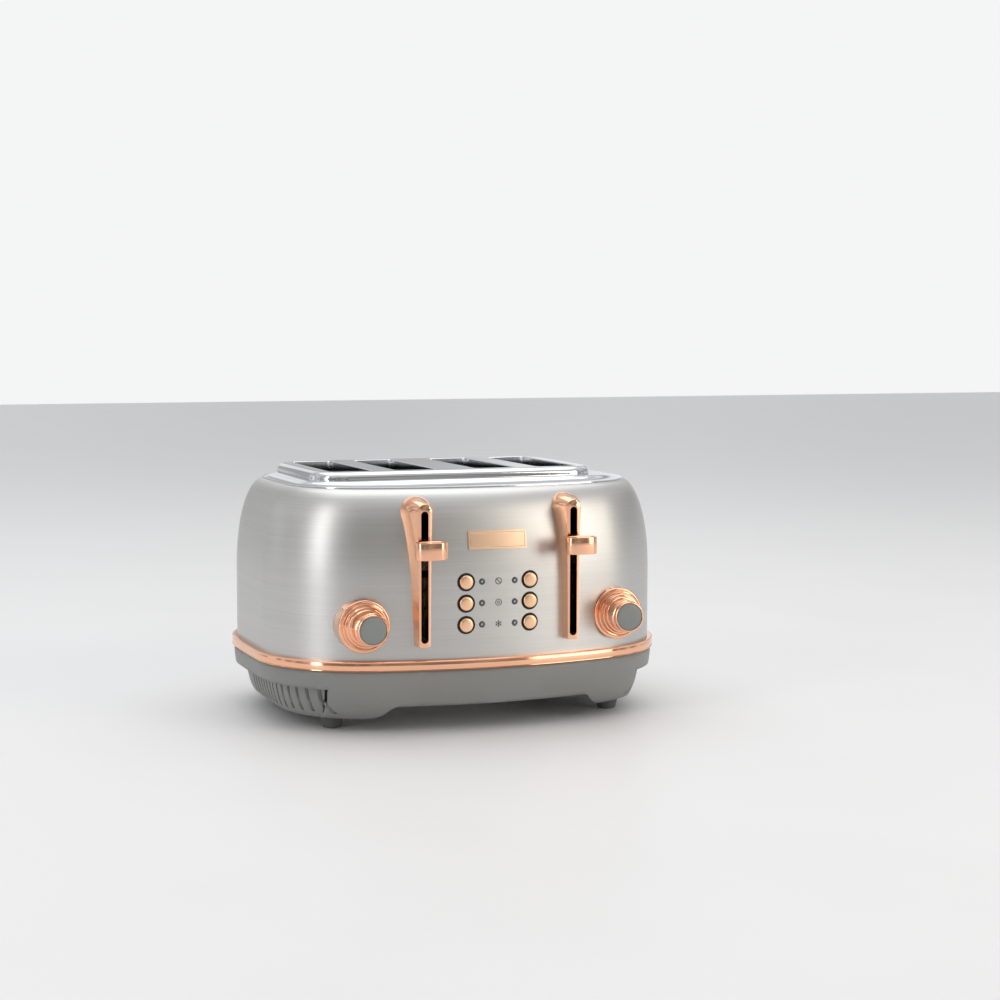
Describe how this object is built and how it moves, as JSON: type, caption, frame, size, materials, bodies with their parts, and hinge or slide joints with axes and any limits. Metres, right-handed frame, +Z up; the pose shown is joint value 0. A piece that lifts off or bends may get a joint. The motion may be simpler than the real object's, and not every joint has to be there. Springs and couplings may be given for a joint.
{
  "type": "pop up toaster",
  "caption": "Four-slot pop up toaster with a bowed steel shell, front lever slots, dials, push buttons, moving bread racks and rear crumb trays.",
  "frame": {"origin": "bottom centre of the whole object's box, on the surface that it stands on", "axes": "+X to the object's right and along its longest side, +Y towards its rear, +Z up"},
  "size_m": [0.324, 0.282, 0.19],
  "materials": {
    "brushed_shell": "satin, brushed round the body",
    "chrome_top": "mirror polish",
    "copper_polished": "polished rose copper plating",
    "copper_satin": "satin rose copper plating",
    "base_plastic": "fine matt moulding",
    "tray_metal": "plain sheet",
    "cap_plastic": "fine matt",
    "lamp_smoke": "smoked gloss",
    "dark_plastic": "matt",
    "foot_rubber": "matt",
    "circuit_board": "lacquered",
    "mica": "mica sheet",
    "ribbon": "oxidised resistance ribbon",
    "magnet": "dull",
    "plated_steel": "zinc plated sheet and wire"
  },
  "bodies": {
    "housing": {"badge_plate": "copper_satin", "base_housing": "base_plastic", "body_shell": "brushed_shell", "bottom_cover": "plated_steel", "browning_controls": "dark_plastic", "button_board": "circuit_board", "button_panel": "dark_plastic", "button_switches": "dark_plastic", "chamber_front_wall": "plated_steel", "chamber_rear_wall": "plated_steel", "chassis_plate": "plated_steel", "chassis_screws": "plated_steel", "cord_gland": "dark_plastic", "dial_collar_left": "copper_polished", "dial_collar_right": "copper_polished", "feet": "foot_rubber", "guide_rods": "plated_steel", "heater_board_1": "mica", "heater_board_2": "mica", "heater_board_3": "mica", "heater_board_4": "mica", "heater_board_5": "mica", "heater_board_6": "mica", "heater_windings": "ribbon", "indicator_lamps": "lamp_smoke", "latch_magnets": "magnet", "lever_bezel_left": "copper_polished", "lever_bezel_right": "copper_polished", "lift_spring_left": "plated_steel", "lift_spring_right": "plated_steel", "side_shields": "plated_steel", "terminal_block": "dark_plastic", "top_plate": "chrome_top", "trim_band": "copper_polished"},
    "left_carriage": {"carriage_left": "plated_steel", "bread_rack_left": "plated_steel", "lever_knob_left": "copper_polished"},
    "left_guides_a": {"bread_guides_left_a": "plated_steel"},
    "left_guides_b": {"bread_guides_left_b": "plated_steel"},
    "left_dial": {"dial_knob_left": "copper_polished", "dial_cap_left": "cap_plastic"},
    "left_top_button": {"button_left_top": "copper_satin"},
    "left_middle_button": {"button_left_middle": "copper_satin"},
    "left_low_button": {"button_left_low": "copper_satin"},
    "left_tray": {"crumb_tray_left": "tray_metal"},
    "right_carriage": {"carriage_right": "plated_steel", "bread_rack_right": "plated_steel", "lever_knob_right": "copper_polished"},
    "right_guides_a": {"bread_guides_right_a": "plated_steel"},
    "right_guides_b": {"bread_guides_right_b": "plated_steel"},
    "right_dial": {"dial_knob_right": "copper_polished", "dial_cap_right": "cap_plastic"},
    "right_top_button": {"button_right_top": "copper_satin"},
    "right_middle_button": {"button_right_middle": "copper_satin"},
    "right_low_button": {"button_right_low": "copper_satin"},
    "right_tray": {"crumb_tray_right": "tray_metal"}
  },
  "joints": [
    {"name": "left_lever", "type": "slide", "parent": "housing", "child": "left_carriage", "axis": [0, 0, 1], "range_m": [-0.058, 0.018], "stiffness_N_per_m": 60, "springref_m": 0.02386, "deforming": ["lift_spring_left"]},
    {"name": "left_guide_a", "type": "slide", "parent": "housing", "child": "left_guides_a", "axis": [1, 0, 0], "range_m": [-0.002, 0.006]},
    {"name": "left_guide_b", "type": "slide", "parent": "housing", "child": "left_guides_b", "axis": [-1, 0, 0], "range_m": [-0.002, 0.006]},
    {"name": "left_dial_turn", "type": "hinge", "parent": "housing", "child": "left_dial", "pos_m": [-0.1014, -0.121, 0.082], "axis": [0, 1, 0], "range_deg": [-135, 135]},
    {"name": "left_top_press", "type": "slide", "parent": "housing", "child": "left_top_button", "axis": [0, 1, 0], "range_m": [0, 0.0016], "stiffness_N_per_m": 400},
    {"name": "left_middle_press", "type": "slide", "parent": "housing", "child": "left_middle_button", "axis": [0, 1, 0], "range_m": [0, 0.0016], "stiffness_N_per_m": 400},
    {"name": "left_low_press", "type": "slide", "parent": "housing", "child": "left_low_button", "axis": [0, 1, 0], "range_m": [0, 0.0016], "stiffness_N_per_m": 400},
    {"name": "left_tray_slide", "type": "slide", "parent": "housing", "child": "left_tray", "axis": [0, 1, 0], "range_m": [0, 0.175]},
    {"name": "right_lever", "type": "slide", "parent": "housing", "child": "right_carriage", "axis": [0, 0, 1], "range_m": [-0.058, 0.018], "stiffness_N_per_m": 60, "springref_m": 0.02328, "deforming": ["lift_spring_right"]},
    {"name": "right_guide_a", "type": "slide", "parent": "housing", "child": "right_guides_a", "axis": [1, 0, 0], "range_m": [-0.002, 0.006]},
    {"name": "right_guide_b", "type": "slide", "parent": "housing", "child": "right_guides_b", "axis": [-1, 0, 0], "range_m": [-0.002, 0.006]},
    {"name": "right_dial_turn", "type": "hinge", "parent": "housing", "child": "right_dial", "pos_m": [0.1014, -0.121, 0.082], "axis": [0, 1, 0], "range_deg": [-135, 135]},
    {"name": "right_top_press", "type": "slide", "parent": "housing", "child": "right_top_button", "axis": [0, 1, 0], "range_m": [0, 0.0016], "stiffness_N_per_m": 400},
    {"name": "right_middle_press", "type": "slide", "parent": "housing", "child": "right_middle_button", "axis": [0, 1, 0], "range_m": [0, 0.0016], "stiffness_N_per_m": 400},
    {"name": "right_low_press", "type": "slide", "parent": "housing", "child": "right_low_button", "axis": [0, 1, 0], "range_m": [0, 0.0016], "stiffness_N_per_m": 400},
    {"name": "right_tray_slide", "type": "slide", "parent": "housing", "child": "right_tray", "axis": [0, 1, 0], "range_m": [0, 0.175]}
  ],
  "couplings": [
    {"joint": "left_guide_a", "follows": "left_lever", "ratio": -0.1},
    {"joint": "left_guide_b", "follows": "left_lever", "ratio": -0.1},
    {"joint": "right_guide_a", "follows": "right_lever", "ratio": -0.1},
    {"joint": "right_guide_b", "follows": "right_lever", "ratio": -0.1}
  ]
}
